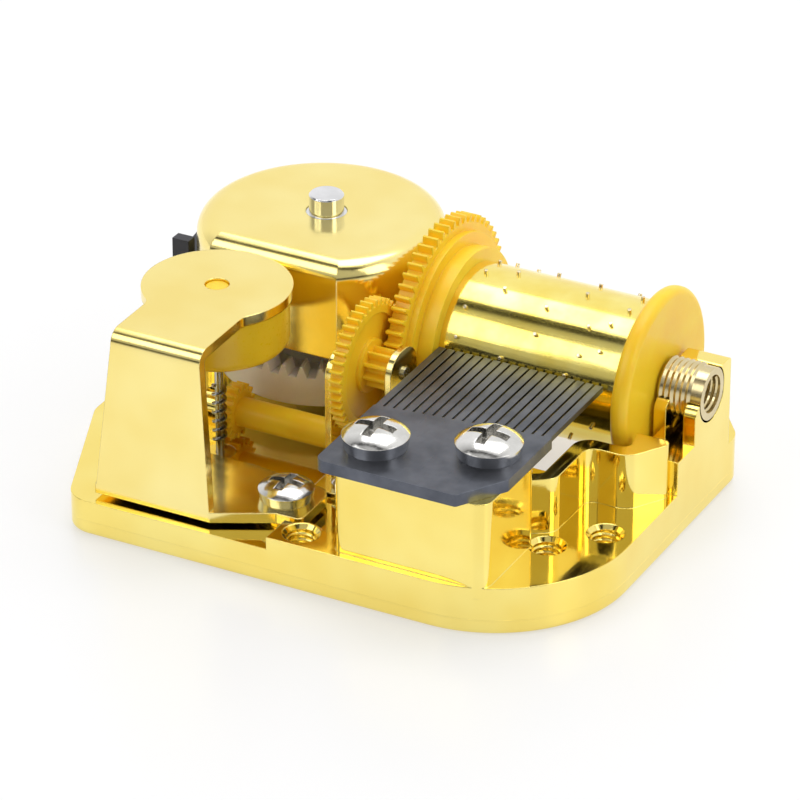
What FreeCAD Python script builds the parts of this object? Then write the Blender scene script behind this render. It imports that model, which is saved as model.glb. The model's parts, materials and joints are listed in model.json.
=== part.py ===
import FreeCAD, Part
import math
import os

# Cylinder music movement: a wound spring turns a pinned cylinder that plucks a steel comb.
# Millimetres. The origin is on the winding arbor's axis, at the underside of the base.
# X runs along the cylinder to the right, Y to the back and Z up.

os.makedirs("parts", exist_ok=True)

# Cast base
BASE_LEFT_MARGIN = 2.5
BASE_RIGHT = 36.1
BASE_FRONT = -28.0
BASE_BACK = 11.5
BASE_FLOOR = 3.2
DECK_STEP_X = 9.4
DECK_FLOOR = 4.3
DECK_LIP = 3.2
FRONT_RIGHT_RADIUS = 12.0
FRONT_LEFT_X = -9.3
FRONT_LEFT_RADIUS = 2.6
LEFT_KNEE_Y = -14.0
LEFT_KNEE_RADIUS = 2.5
BACK_RADIUS = 4.5
RIGHT_BACK_Y = 5.4
RIGHT_BACK_RADIUS = 2.4
BACK_CUT_X = 31.5
BACK_CUT_RADIUS = 3.0
RIM_BEVEL = 0.45

# Cylinder line
CYLINDER_HEIGHT = 10.8
CYLINDER_RADIUS = 6.5
CYLINDER_WALL = 0.45
CYLINDER_START = 13.9
PIN_RADIUS = 0.17
PIN_RISE = 0.33
PIN_ROOT = 0.3
AXLE_RADIUS = 1.0
RUNNING_CLEARANCE = 0.03
SIDE_CLEARANCE = 0.25

# Comb
TOOTH_COUNT = 18
TOOTH_PITCH = 0.85
COMB_SIDE_GAP = 0.2
TOOTH_SLIT = 0.2
COMB_TOP = 13.0
COMB_THICKNESS = 1.05
TOOTH_THICKNESS = 0.5
COMB_FRONT = -28.4
COMB_CORNER_CUT = 2.6
COMB_CORNER_RADIUS = 0.9
SLIT_ROOT_LEFT = -18.1
SLIT_ROOT_RIGHT = -16.4
TIP_CLEARANCE = 0.1
LEAD_COUNT = 6
LEAD_HEIGHT = 0.7
LEAD_LENGTH = 1.9
LEAD_SETBACK = 1.2

# Gear train: teeth and modules
CROWN_TEETH = 36
CROWN_MODULE = 0.5
DRIVE_PINION_TEETH = 8
CYLINDER_GEAR_TEETH = 61
FINE_MODULE = 0.32
IDLER_PINION_TEETH = 9
IDLER_WHEEL_TEETH = 44
BRAKE_MODULE = 0.25
SHAFT_PINION_TEETH = 9
WORM_WHEEL_TEETH = 16
WORM_PITCH = 0.85
WORM_PITCH_RADIUS = 0.55
TOOTH_SHARE = 0.38
MESH_CLEARANCE = 0.06

# Where each gear lies along X
DRIVE_PINION_START = 7.8
DRIVE_PINION_WIDTH = 1.55
CYLINDER_GEAR_START = 10.5
CYLINDER_GEAR_WIDTH = 1.4
GEAR_RING_RADIUS = 8.7
GEAR_RING_WIDTH = 0.6
GEAR_FLANGE_RADIUS = 7.6
GEAR_PLUG_LENGTH = 2.0
END_DISC_RADIUS = 8.1
END_DISC_WIDTH = 1.5
END_DISC_ROUND = 0.65
CYLINDER_TAIL = 1.0
IDLER_WHEEL_START = 9.1
IDLER_WHEEL_WIDTH = 1.15
IDLER_WEB_INNER = 2.3
IDLER_WEB_OUTER = 4.5
IDLER_WEB_DEPTH = 0.3
IDLER_PINION_END = 12.4
IDLER_RISE = 7.8
IDLER_PIN_RADIUS = 0.6

# Spring housing and the winding line
HOUSING_RADIUS = 10.6
HOUSING_GEAR_GAP = 0.25
HOUSING_SHIFT_Y = -0.2
HOUSING_TOP = 19.4
HOUSING_BOTTOM = 10.55
HOUSING_WALL = 0.5
HOUSING_ROUND = 1.8
HOUSING_FLAT_CUT = 1.9
EAR_RADIUS = 1.8
EAR_POST_RADIUS = 1.2
EAR_THICKNESS = 0.9
EAR_OFFSET = 1.4
EAR_ANGLES = (45.0, 128.0, 230.0)
RIVET_RADIUS = 0.7
RIVET_HEAD_RADIUS = 1.0
RIVET_HEAD_HEIGHT = 0.6
ARBOR_RADIUS = 1.75
JOURNAL_DROP = 0.1
STUB_RISE = 1.6
STUB_RADIUS = 1.5
STUB_CHAMFER = 0.12
ARBOR_FOOT_RADIUS = 2.9
KEY_THREAD_RADIUS = 1.75
KEY_THREAD_DEPTH = 5.0
BUSH_WALL = 0.9
CROWN_INNER = 7.6
CROWN_OUTER = 9.4
CROWN_WEB_TOP = 7.2
CROWN_WEB_BOTTOM = 5.6
CROWN_HUB_RADIUS = 4.6
CROWN_HUB_RISE = 1.2
TOOTH_SINK = 0.05
SLEEVE_WALL = 0.6
SPRING_STRIP = 0.12
SPRING_TURNS = 9
SPRING_INNER = 2.3
SPRING_ROOM = 3.3
SPRING_HEIGHT = 6.4

# Governor
GOVERNOR_X = -1.9
GOVERNOR_Y = -15.5
BRACKET_SHEET = 0.9
BRACKET_FRONT = -26.9
BRACKET_TOP = 19.0
BRACKET_FOOT_WIDTH = 10.8
BRACKET_NECK_WIDTH = 8.3
FOOT_SHIFT = 0.0
NECK_SHIFT = 0.6
BRACKET_BEND = 1.3
BRACKET_DISC_RADIUS = 6.3
BRACKET_NECK_FILLET = 1.6
FOOT_LIFT = 0.35
CUP_RADIUS = 6.0
CUP_HEIGHT = 4.5
CUP_WALL = 0.7
CUP_ROUND = 0.9
PIVOT_RADIUS = 1.05
WORM_CORE = 0.36
WORM_CREST = 0.64
WORM_BOTTOM = 4.2
WORM_THREAD_TOP = 9.6
ROTOR_HUB_RADIUS = 1.3
ROTOR_ARM_REACH = 3.4
WEIGHT_RADIUS = 1.05
SHAFT_RADIUS = 1.28
SHAFT_LEFT = -4.6
SHAFT_JOURNAL_RADIUS = 0.6
SHAFT_POST_WIDTH = 1.6

# Foot of the governor bracket, round its screw
FOOT_TAB_INSET = 0.6
FOOT_TAB_REACH = 2.9
FOOT_TAB_FRONT = 2.8
FOOT_TAB_BACK = 2.6

# Idler bracket
CHEEK_SHEET = 0.55
CHEEK_ROUND = 2.25
CHEEK_GAP = 0.3
BRACKET_SCREW_Y = -16.6

# Fasteners and the tapped holes
COMB_SCREW_RADIUS = 1.5
COMB_SCREW_HEAD_RADIUS = 2.8
COMB_SCREW_HEAD_HEIGHT = 1.9
COMB_SCREWS = ((17.5, -24.2), (26.1, -21.1))
COMB_SCREW_LENGTH = 5.0
SMALL_SCREW_RADIUS = 1.0
SMALL_SCREW_HEAD_RADIUS = 2.35
SMALL_SCREW_HEAD_HEIGHT = 1.5
BRACKET_SCREW_X = 7.8
BRACKET_SCREW_FRONT = -21.6
HEAD_RIM_SHARE = 0.6
HEAD_UNDERCUT = 0.93
RECESS_ARM = 0.3
RECESS_SHARE = 0.62
SCREW_CLEARANCE = 0.15
MOUNT_HOLE_RADIUS = 1.25
MOUNT_HOLES = ((11.6, -26.0), (30.2, -18.6), (33.5, -14.6))
MOUNT_BOSS_RADIUS = 1.75
HOLE_CHAMFER = 0.35

# Bush at the right end of the cylinder
BUSH_RADIUS = 2.45
BUSH_BORE = 1.65
BUSH_START = 32.1
BUSH_END = 36.1
BUSH_SEAT = 1.6
BUSH_THREAD_PITCH = 0.5
BUSH_THREAD_DEPTH = 0.18

# Block, wall and post cast on the base
BLOCK_LEFT = 15.0
BLOCK_RIGHT = 29.0
BLOCK_FRONT = -27.4
BLOCK_BACK = -18.2
BLOCK_CORNER = 1.2
WALL_TOP = 9.3
WALL_THICKNESS = 1.3
WAVE_X = 29.8
WAVE_FRONT = -16.4
WAVE_BACK = -10.4
WAVE_BEND_X = 33.4
WAVE_BEND_INSET = 0.4
WAVE_END_INSET = 0.2
SILL_REACH = 2.0
POST_INNER = 32.3
POST_FRONT = -4.4
POST_BACK = 3.7
POST_SILL = 7.4
POST_TOP = 12.6
POST_PLATE = 1.1
WINDOW_HALF = 7.6
WINDOW_RADIUS = 1.2
BEARING_POST_WIDTH = 0.5
BEARING_POST_GAP = 0.1
BEARING_POST_HALF = 2.4

# Start and stop lever
LEVER_OFFSET = 1.55
LEVER_Y = 3.0
LEVER_BOTTOM = 10.6
LEVER_THICKNESS = 2.8
LEVER_PIN_RADIUS = 0.7
LEVER_PIN_HEAD = 0.5
LEVER_HUB_RADIUS = 1.4
LEVER_LENGTH = 6.9
FINGER_LEFT = 0.4
FINGER_RIGHT = 1.2
FINGER_DEPTH = 1.05
FINGER_TOP = 15.5

# Worked out from the values above
HOUSING_SHIFT_X = CYLINDER_GEAR_START - HOUSING_GEAR_GAP - HOUSING_RADIUS
HOUSING_FLAT_Y = HOUSING_SHIFT_Y - HOUSING_RADIUS + HOUSING_FLAT_CUT
EAR_REACH = HOUSING_RADIUS + EAR_OFFSET
ARBOR_TOP = HOUSING_TOP + STUB_RISE
SPRING_OUTER = HOUSING_RADIUS - SPRING_ROOM
LEVER_X = HOUSING_SHIFT_X - HOUSING_RADIUS - LEVER_OFFSET
BASE_LEFT = LEVER_X - BASE_LEFT_MARGIN
DRIVE_RADIUS = DRIVE_PINION_TEETH * CROWN_MODULE / 2
CROWN_PITCH_HEIGHT = CYLINDER_HEIGHT - DRIVE_RADIUS - MESH_CLEARANCE
GEAR_RADIUS = CYLINDER_GEAR_TEETH * FINE_MODULE / 2
IDLER_PINION_RADIUS = IDLER_PINION_TEETH * FINE_MODULE / 2
IDLER_WHEEL_RADIUS = IDLER_WHEEL_TEETH * BRAKE_MODULE / 2
SHAFT_PINION_RADIUS = SHAFT_PINION_TEETH * BRAKE_MODULE / 2
WORM_WHEEL_RADIUS = WORM_WHEEL_TEETH * WORM_PITCH / (2 * math.pi)
IDLER_REACH = GEAR_RADIUS + IDLER_PINION_RADIUS + MESH_CLEARANCE
IDLER_Y = -IDLER_REACH * math.cos(math.radians(IDLER_RISE))
IDLER_Z = CYLINDER_HEIGHT + IDLER_REACH * math.sin(math.radians(IDLER_RISE))
SHAFT_Y = GOVERNOR_Y + WORM_WHEEL_RADIUS + WORM_PITCH_RADIUS + MESH_CLEARANCE
SHAFT_DROP = IDLER_WHEEL_RADIUS + SHAFT_PINION_RADIUS + MESH_CLEARANCE
SHAFT_Z = IDLER_Z - math.sqrt(SHAFT_DROP ** 2 - (SHAFT_Y - IDLER_Y) ** 2)
COMB_WIDTH = TOOTH_COUNT * TOOTH_PITCH
COMB_LEFT = CYLINDER_START + COMB_SIDE_GAP
COMB_RIGHT = COMB_LEFT + COMB_WIDTH
COMB_UNDERSIDE = COMB_TOP - COMB_THICKNESS
PIN_CREST = CYLINDER_RADIUS + PIN_RISE
TOOTH_UNDERSIDE = COMB_TOP - TOOTH_THICKNESS
COMB_TIP = -math.sqrt((PIN_CREST + TIP_CLEARANCE) ** 2 - (TOOTH_UNDERSIDE - CYLINDER_HEIGHT) ** 2)
CYLINDER_END = COMB_RIGHT + CYLINDER_TAIL
END_DISC_START = CYLINDER_END
END_DISC_END = END_DISC_START + END_DISC_WIDTH
WINDOW_LEFT = CYLINDER_GEAR_START - SIDE_CLEARANCE
WINDOW_RIGHT = POST_INNER - SIDE_CLEARANCE
BEARING_POST_END = WINDOW_LEFT - BEARING_POST_GAP
BEARING_POST_START = BEARING_POST_END - BEARING_POST_WIDTH
CHEEK_LEFT = IDLER_WHEEL_START - CHEEK_GAP - CHEEK_SHEET
CHEEK_RIGHT = IDLER_PINION_END + CHEEK_GAP
CUP_BOTTOM = BRACKET_TOP - BRACKET_SHEET - CUP_HEIGHT
WORM_TOP = BRACKET_TOP - BRACKET_SHEET
ARBOR_FOOT_TOP = CROWN_WEB_BOTTOM - 0.2
HOUSING_CEILING = HOUSING_TOP - HOUSING_WALL
SPRING_BOTTOM = HOUSING_CEILING - 0.4 - SPRING_HEIGHT

X_AXIS = FreeCAD.Vector(1, 0, 0)
Z_AXIS = FreeCAD.Vector(0, 0, 1)


def vec(x, y, z=0.0):
    return FreeCAD.Vector(x, y, z)


def box(x0, x1, y0, y1, z0, z1):
    return Part.makeBox(x1 - x0, y1 - y0, z1 - z0, vec(x0, y0, z0))


def rod(radius, start, end, x=0.0, y=0.0):
    """A round rod standing along Z."""
    return Part.makeCylinder(radius, end - start, vec(x, y, start), Z_AXIS)


def spindle(radius, start, end, y, z):
    """A round rod lying along X."""
    return Part.makeCylinder(radius, end - start, vec(start, y, z), X_AXIS)


def ring(outer, inner, start, end, x=0.0, y=0.0):
    return rod(outer, start, end, x, y).cut(rod(inner, start - 1, end + 1, x, y))


def fuse_all(shapes):
    return shapes[0].multiFuse(shapes[1:]).removeSplitter()


def rounded_face(corners):
    """A flat face through (x, y, radius) corners, each rounded by a tangent arc."""
    edges = []
    starts = []
    ends = []
    arcs = []
    count = len(corners)
    for i, (x, y, radius) in enumerate(corners):
        here = vec(x, y)
        before = vec(*corners[i - 1][:2]) - here
        after = vec(*corners[(i + 1) % count][:2]) - here
        before.normalize()
        after.normalize()
        if radius == 0:
            starts.append(here)
            ends.append(here)
            arcs.append(None)
            continue
        half = before.getAngle(after) / 2
        run = radius / math.tan(half)
        middle = before + after
        middle.normalize()
        starts.append(here + before * run)
        ends.append(here + after * run)
        arcs.append(here + middle * (radius / math.sin(half) - radius))
    for i in range(count):
        if arcs[i] is not None:
            edges.append(Part.Arc(starts[i], arcs[i], ends[i]).toShape())
        follow = starts[(i + 1) % count]
        if (follow - ends[i]).Length > 1e-6:
            edges.append(Part.LineSegment(ends[i], follow).toShape())
    return Part.Face(Part.Wire(edges))


def slab(corners, start, end):
    face = rounded_face(corners)
    face.translate(vec(0, 0, start))
    return face.extrude(vec(0, 0, end - start))


def side_slab(corners, start, end):
    """A slab whose outline is given as (y, z, radius) and which runs along X."""
    solid = slab(corners, 0, end - start)
    turn = FreeCAD.Rotation(vec(0, 1, 0), vec(0, 0, 1), vec(1, 0, 0), "YZX")
    solid.Placement = FreeCAD.Placement(vec(start, 0, 0), turn)
    return solid


def gear_face(teeth, module, phase, share=TOOTH_SHARE, addendum=0.9, dedendum=1.15):
    """Spur gear outline in the XY plane with a tooth centred on the phase angle (radians)."""
    pitch_radius = teeth * module / 2
    step = 2 * math.pi / teeth
    corners = []
    flank = ((pitch_radius - dedendum * module, share * 1.35),
             (pitch_radius, share),
             (pitch_radius + addendum * module, share * 0.5))
    for i in range(teeth):
        middle = phase + i * step
        for radius, part in flank:
            angle = middle - part * step / 2
            corners.append(vec(radius * math.cos(angle), radius * math.sin(angle)))
        for radius, part in reversed(flank):
            angle = middle + part * step / 2
            corners.append(vec(radius * math.cos(angle), radius * math.sin(angle)))
    return Part.Face(Part.makePolygon(corners + corners[:1]))


def gear_on_x(teeth, module, phase, start, width, y, z):
    """Spur gear about a line along X; the phase is measured from +Y towards +Z."""
    solid = gear_face(teeth, module, phase).extrude(vec(0, 0, width))
    turn = FreeCAD.Rotation(vec(0, 1, 0), vec(0, 0, 1), vec(1, 0, 0), "YZX")
    solid.Placement = FreeCAD.Placement(vec(start, y, z), turn)
    return solid


def cross_recess(x, y, top, head_radius, depth):
    """The cross cut in a screw head."""
    reach = head_radius * RECESS_SHARE
    arm = head_radius * RECESS_ARM / 2
    one = box(x - reach, x + reach, y - arm, y + arm, top - depth, top + 1)
    two = box(x - arm, x + arm, y - reach, y + reach, top - depth, top + 1)
    return one.fuse(two)


def pan_screw(x, y, seat, length, radius, head_radius, head_height):
    """A domed screw with a cross recess, its head resting on the seat height."""
    rim = head_height * HEAD_RIM_SHARE
    under = head_radius * HEAD_UNDERCUT
    dome = Part.Arc(vec(head_radius, 0, rim), vec(head_radius * 0.72, 0, head_height * 0.89),
                    vec(0, 0, head_height)).toShape()
    edges = [dome,
             Part.LineSegment(vec(0, 0, head_height), vec(0, 0, -length)).toShape(),
             Part.LineSegment(vec(0, 0, -length), vec(radius, 0, -length)).toShape(),
             Part.LineSegment(vec(radius, 0, -length), vec(radius, 0, 0)).toShape(),
             Part.LineSegment(vec(radius, 0, 0), vec(under, 0, 0)).toShape(),
             Part.LineSegment(vec(under, 0, 0), vec(head_radius, 0, rim)).toShape()]
    solid = Part.Face(Part.Wire(edges)).revolve(vec(0, 0, 0), Z_AXIS, 360)
    solid.translate(vec(x, y, seat))
    return solid.cut(cross_recess(x, y, seat + head_height, head_radius, head_height * 0.7))


def base_outline(inset=0.0):
    return [(BASE_RIGHT - inset, BASE_FRONT + inset, FRONT_RIGHT_RADIUS),
            (BASE_RIGHT - inset, RIGHT_BACK_Y - inset, RIGHT_BACK_RADIUS),
            (BACK_CUT_X - inset, BASE_BACK - inset, BACK_CUT_RADIUS),
            (BASE_LEFT + inset, BASE_BACK - inset, BACK_RADIUS),
            (BASE_LEFT + inset, LEFT_KNEE_Y, LEFT_KNEE_RADIUS),
            (FRONT_LEFT_X + inset, BASE_FRONT + inset, FRONT_LEFT_RADIUS)]


def wavy_wall():
    """The wall that swings from the comb block round to the right post."""
    inner = WALL_THICKNESS
    outer_line = [(BLOCK_RIGHT - 1.0, BLOCK_BACK + 0.6, 0),
                  (WAVE_X, WAVE_FRONT, 1.4),
                  (WAVE_X, WAVE_BACK, 1.1),
                  (WAVE_BEND_X, WAVE_BACK, 1.9),
                  (BASE_RIGHT - WAVE_END_INSET, POST_FRONT - SILL_REACH, 0.6)]
    inner_line = [(POST_INNER, POST_FRONT - SILL_REACH, 0),
                  (WAVE_BEND_X - WAVE_BEND_INSET, WAVE_BACK + inner, 0.8),
                  (WAVE_X - inner, WAVE_BACK + inner, 1.6),
                  (WAVE_X - inner, WAVE_FRONT + WAVE_BEND_INSET, 0.6),
                  (BLOCK_RIGHT - 3.0, BLOCK_BACK + 0.6, 0)]
    front = [(BLOCK_RIGHT - 3.0, BLOCK_BACK - 1.0, 0), (BLOCK_RIGHT - 1.0, BLOCK_BACK - 1.0, 0)]
    return slab(front + outer_line + inner_line, DECK_FLOOR - 1, WALL_TOP)


def right_post():
    """Cradle for the bush: a sill, two notched plates and a tall back wall."""
    sill = box(POST_INNER, BASE_RIGHT, POST_FRONT - SILL_REACH, POST_BACK, DECK_FLOOR - 1, POST_SILL)
    outer = side_slab([(POST_FRONT + 1.2, POST_SILL - 1, 0), (POST_BACK, POST_SILL - 1, 0),
                       (POST_BACK, CYLINDER_HEIGHT, 0), (POST_FRONT + 1.2, CYLINDER_HEIGHT, 1.0)],
                      BASE_RIGHT - POST_PLATE, BASE_RIGHT)
    inner = side_slab([(POST_FRONT + 1.2, POST_SILL - 1, 0), (POST_BACK, POST_SILL - 1, 0),
                       (POST_BACK, CYLINDER_HEIGHT, 0), (POST_FRONT + 1.2, CYLINDER_HEIGHT, 1.0)],
                      POST_INNER, POST_INNER + POST_PLATE)
    back = side_slab([(BUSH_RADIUS - 0.8, POST_SILL - 1, 0), (POST_BACK, POST_SILL - 1, 0),
                      (POST_BACK, POST_TOP, 0.4), (BUSH_RADIUS - 0.8, POST_TOP, 0.4)],
                     POST_INNER, BASE_RIGHT)
    return fuse_all([sill, outer, inner, back])


def bearing_posts():
    """Posts for the cylinder's left journal and the worm shaft's left journal."""
    half = BEARING_POST_HALF
    cylinder_post = side_slab([(-half, BASE_FLOOR - 1, 0), (half, BASE_FLOOR - 1, 0),
                               (half, CYLINDER_HEIGHT + half, half - 0.1),
                               (-half, CYLINDER_HEIGHT + half, half - 0.1)],
                              BEARING_POST_START, BEARING_POST_END)
    reach = SHAFT_POST_WIDTH / 2 + SHAFT_JOURNAL_RADIUS
    shaft_post = side_slab([(SHAFT_Y - reach, BASE_FLOOR - 1, 0), (SHAFT_Y + reach, BASE_FLOOR - 1, 0),
                            (SHAFT_Y + reach, SHAFT_Z + reach, reach - 0.1),
                            (SHAFT_Y - reach, SHAFT_Z + reach, reach - 0.1)],
                           SHAFT_LEFT, SHAFT_LEFT + SHAFT_POST_WIDTH)
    return [cylinder_post, shaft_post]


def ear_place(angle):
    turn = math.radians(angle)
    return HOUSING_SHIFT_X + EAR_REACH * math.cos(turn), HOUSING_SHIFT_Y + EAR_REACH * math.sin(turn)


def make_base():
    plate = slab(base_outline(), 0, BASE_FLOOR)
    lower_rim = [e for e in plate.Edges if abs(e.BoundBox.ZMax) < 1e-6]
    plate = plate.makeFillet(RIM_BEVEL, lower_rim)
    deck = slab(base_outline(), BASE_FLOOR, DECK_FLOOR)
    deck = deck.cut(box(BASE_LEFT - 1, DECK_STEP_X, BASE_FRONT - 1, BASE_BACK + 1, 0, DECK_FLOOR + 1))
    deck = deck.cut(box(BASE_LEFT, CHEEK_RIGHT + CHEEK_SHEET + SIDE_CLEARANCE, BASE_FRONT + DECK_LIP,
                        BASE_BACK + 1, 0, DECK_FLOOR + 1))
    block = slab([(BLOCK_RIGHT, BLOCK_FRONT, BLOCK_CORNER), (BLOCK_RIGHT, BLOCK_BACK, BLOCK_CORNER),
                  (BLOCK_LEFT, BLOCK_BACK, BLOCK_CORNER), (BLOCK_LEFT, BLOCK_FRONT, BLOCK_CORNER)],
                 DECK_FLOOR - 1, COMB_UNDERSIDE)
    boss_x, boss_y = MOUNT_HOLES[0]
    boss = rod(MOUNT_BOSS_RADIUS, 0.5, DECK_FLOOR, boss_x, boss_y)
    solids = [plate, deck, block, wavy_wall(), right_post(), boss] + bearing_posts()
    for angle in EAR_ANGLES:
        x, y = ear_place(angle)
        solids.append(rod(EAR_POST_RADIUS, BASE_FLOOR - 1, HOUSING_BOTTOM, x, y))
    solids.append(rod(LEVER_HUB_RADIUS, BASE_FLOOR - 1, LEVER_BOTTOM, LEVER_X, LEVER_Y))
    solids.append(rod(SMALL_SCREW_RADIUS + 1.4, BASE_FLOOR - 1, foot_height(),
                      BRACKET_SCREW_X, BRACKET_SCREW_FRONT))
    body = fuse_all(solids)
    window = slab([(WINDOW_RIGHT, -WINDOW_HALF, WINDOW_RADIUS), (WINDOW_RIGHT, WINDOW_HALF, WINDOW_RADIUS),
                   (WINDOW_LEFT, WINDOW_HALF, WINDOW_RADIUS), (WINDOW_LEFT, -WINDOW_HALF, WINDOW_RADIUS)],
                  -1, DECK_FLOOR + 2)
    cuts = [window, rod(ARBOR_FOOT_RADIUS + BUSH_WALL, -1, BASE_FLOOR + 1)]
    cuts.append(spindle(BUSH_RADIUS, POST_INNER - 1, BASE_RIGHT + 1, 0, CYLINDER_HEIGHT))
    cuts.append(spindle(AXLE_RADIUS + RUNNING_CLEARANCE, BEARING_POST_START - 1, BEARING_POST_END + 1,
                        0, CYLINDER_HEIGHT))
    cuts.append(spindle(SHAFT_JOURNAL_RADIUS + RUNNING_CLEARANCE, SHAFT_LEFT - 1,
                        SHAFT_LEFT + SHAFT_POST_WIDTH + 1, SHAFT_Y, SHAFT_Z))
    for x, y in MOUNT_HOLES:
        cuts.append(rod(MOUNT_HOLE_RADIUS, -1, DECK_FLOOR + 1, x, y))
        cuts.append(Part.makeCone(MOUNT_HOLE_RADIUS, MOUNT_HOLE_RADIUS + HOLE_CHAMFER, HOLE_CHAMFER,
                                  vec(x, y, DECK_FLOOR - HOLE_CHAMFER), Z_AXIS))
    for x, y in COMB_SCREWS:
        cuts.append(rod(COMB_SCREW_RADIUS, COMB_TOP - COMB_SCREW_LENGTH - 0.3, COMB_TOP, x, y))
    cuts.append(rod(SMALL_SCREW_RADIUS, 0.5, DECK_FLOOR + 1, BRACKET_SCREW_X, BRACKET_SCREW_FRONT))
    cuts.append(rod(SMALL_SCREW_RADIUS, 0.5, DECK_FLOOR + 1, idler_screw_x(), BRACKET_SCREW_Y))
    for angle in EAR_ANGLES:
        x, y = ear_place(angle)
        cuts.append(rod(RIVET_RADIUS, BASE_FLOOR, HOUSING_BOTTOM + 1, x, y))
    cuts.append(rod(LEVER_PIN_RADIUS, BASE_FLOOR, LEVER_BOTTOM + 1, LEVER_X, LEVER_Y))
    cuts.append(rod(bearing_radius(), 1.0, BASE_FLOOR + 1, GOVERNOR_X, GOVERNOR_Y))
    for cutter in cuts:
        body = body.cut(cutter)
    return body.removeSplitter()


def foot_height():
    """Underside of the governor bracket's foot."""
    return BASE_FLOOR + FOOT_LIFT


def bearing_radius():
    return WORM_CREST + 0.7


def idler_screw_x():
    return (CHEEK_LEFT + CHEEK_RIGHT + CHEEK_SHEET) / 2


def housing_shell(radius, flat, bottom, top, rounding):
    drum = rod(radius, bottom, top, HOUSING_SHIFT_X, HOUSING_SHIFT_Y)
    drum = drum.cut(box(HOUSING_SHIFT_X - radius, HOUSING_SHIFT_X + radius, flat - radius, flat,
                        bottom - 1, top + 1))
    upper = [e for e in drum.Edges if e.BoundBox.ZMin > top - 1e-6]
    return drum.makeFillet(rounding, upper)


def make_housing():
    shell = housing_shell(HOUSING_RADIUS, HOUSING_FLAT_Y, HOUSING_BOTTOM, HOUSING_TOP, HOUSING_ROUND)
    inside = housing_shell(HOUSING_RADIUS - HOUSING_WALL, HOUSING_FLAT_Y + HOUSING_WALL,
                           HOUSING_BOTTOM - 1, HOUSING_CEILING, HOUSING_ROUND - HOUSING_WALL)
    ears = []
    for angle in EAR_ANGLES:
        x, y = ear_place(angle)
        ears.append(rod(EAR_RADIUS, HOUSING_BOTTOM, HOUSING_BOTTOM + EAR_THICKNESS, x, y))
    shell = fuse_all([shell] + ears).cut(inside)
    for angle in EAR_ANGLES:
        x, y = ear_place(angle)
        shell = shell.cut(rod(RIVET_RADIUS, HOUSING_BOTTOM - 1, HOUSING_BOTTOM + 2, x, y))
    shell = shell.cut(rod(ARBOR_RADIUS + RUNNING_CLEARANCE, HOUSING_TOP - 2, HOUSING_TOP + 1))
    reach = DRIVE_RADIUS + CROWN_MODULE + 0.6
    notch = spindle(reach, DRIVE_PINION_START - 0.5, BASE_RIGHT, 0, CYLINDER_HEIGHT)
    return shell.cut(notch)


def make_rivets():
    rivets = []
    for angle in EAR_ANGLES:
        x, y = ear_place(angle)
        seat = HOUSING_BOTTOM + EAR_THICKNESS
        stem = rod(RIVET_RADIUS, BASE_FLOOR + 0.5, seat, x, y)
        head = rod(RIVET_HEAD_RADIUS, seat, seat + RIVET_HEAD_HEIGHT, x, y)
        top_edge = [e for e in head.Edges if e.BoundBox.ZMin > seat + RIVET_HEAD_HEIGHT - 1e-6]
        head = head.makeFillet(RIVET_HEAD_HEIGHT * 0.7, top_edge)
        rivets.append(stem.fuse(head).removeSplitter())
    return Part.makeCompound(rivets)


def make_arbor():
    """The winding arbor: a tapped foot for the key, the spring's core and the stub on top."""
    foot = rod(ARBOR_FOOT_RADIUS, 0, ARBOR_FOOT_TOP)
    stem = rod(ARBOR_RADIUS, 0, HOUSING_TOP - JOURNAL_DROP)
    stub = rod(STUB_RADIUS, HOUSING_TOP - JOURNAL_DROP, ARBOR_TOP)
    top_edge = [e for e in stub.Edges if e.BoundBox.ZMin > ARBOR_TOP - 1e-6]
    stub = stub.makeChamfer(STUB_CHAMFER, top_edge)
    body = fuse_all([foot, stem, stub])
    return body.cut(rod(KEY_THREAD_RADIUS - 0.25, -1, KEY_THREAD_DEPTH))


def make_arbor_bush():
    return ring(ARBOR_FOOT_RADIUS + BUSH_WALL, ARBOR_FOOT_RADIUS + RUNNING_CLEARANCE, 0.6, BASE_FLOOR)


def sleeve_radius():
    return ARBOR_RADIUS + RUNNING_CLEARANCE + SLEEVE_WALL


def make_sleeve():
    """One-way clutch sleeve between the great wheel and the arbor."""
    return ring(sleeve_radius(), ARBOR_RADIUS + RUNNING_CLEARANCE, CROWN_WEB_BOTTOM,
                CROWN_WEB_TOP + CROWN_HUB_RISE)


def crown_tooth(angle):
    """A wedge tooth pointing up, with flanks that run to the wheel's axis."""
    step = 2 * math.pi / CROWN_TEETH
    root = CROWN_PITCH_HEIGHT - 1.15 * CROWN_MODULE
    tip = CROWN_PITCH_HEIGHT + 0.85 * CROWN_MODULE
    wires = []
    for radius in (CROWN_INNER, CROWN_OUTER):
        wide = radius * math.tan(step * 0.29)
        thin = radius * math.tan(step * 0.08)
        corners = [vec(radius, -wide, root), vec(radius, wide, root), vec(radius, thin, tip),
                   vec(radius, -thin, tip), vec(radius, -wide, root)]
        wires.append(Part.makePolygon(corners))
    tooth = Part.makeLoft(wires, True, True)
    tooth.rotate(vec(0, 0, 0), Z_AXIS, math.degrees(angle))
    return tooth


def make_great_wheel():
    root = CROWN_PITCH_HEIGHT - 1.15 * CROWN_MODULE
    rim = ring(CROWN_OUTER, CROWN_INNER, CROWN_WEB_BOTTOM, root + TOOTH_SINK)
    web = ring(CROWN_INNER + TOOTH_SINK, sleeve_radius(), CROWN_WEB_BOTTOM, CROWN_WEB_TOP)
    hub = ring(CROWN_HUB_RADIUS, sleeve_radius(), CROWN_WEB_BOTTOM, CROWN_WEB_TOP + CROWN_HUB_RISE)
    step = 2 * math.pi / CROWN_TEETH
    teeth = [crown_tooth((i + 0.5) * step) for i in range(CROWN_TEETH)]
    return fuse_all([fuse_all([rim, web, hub])] + teeth)


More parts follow.
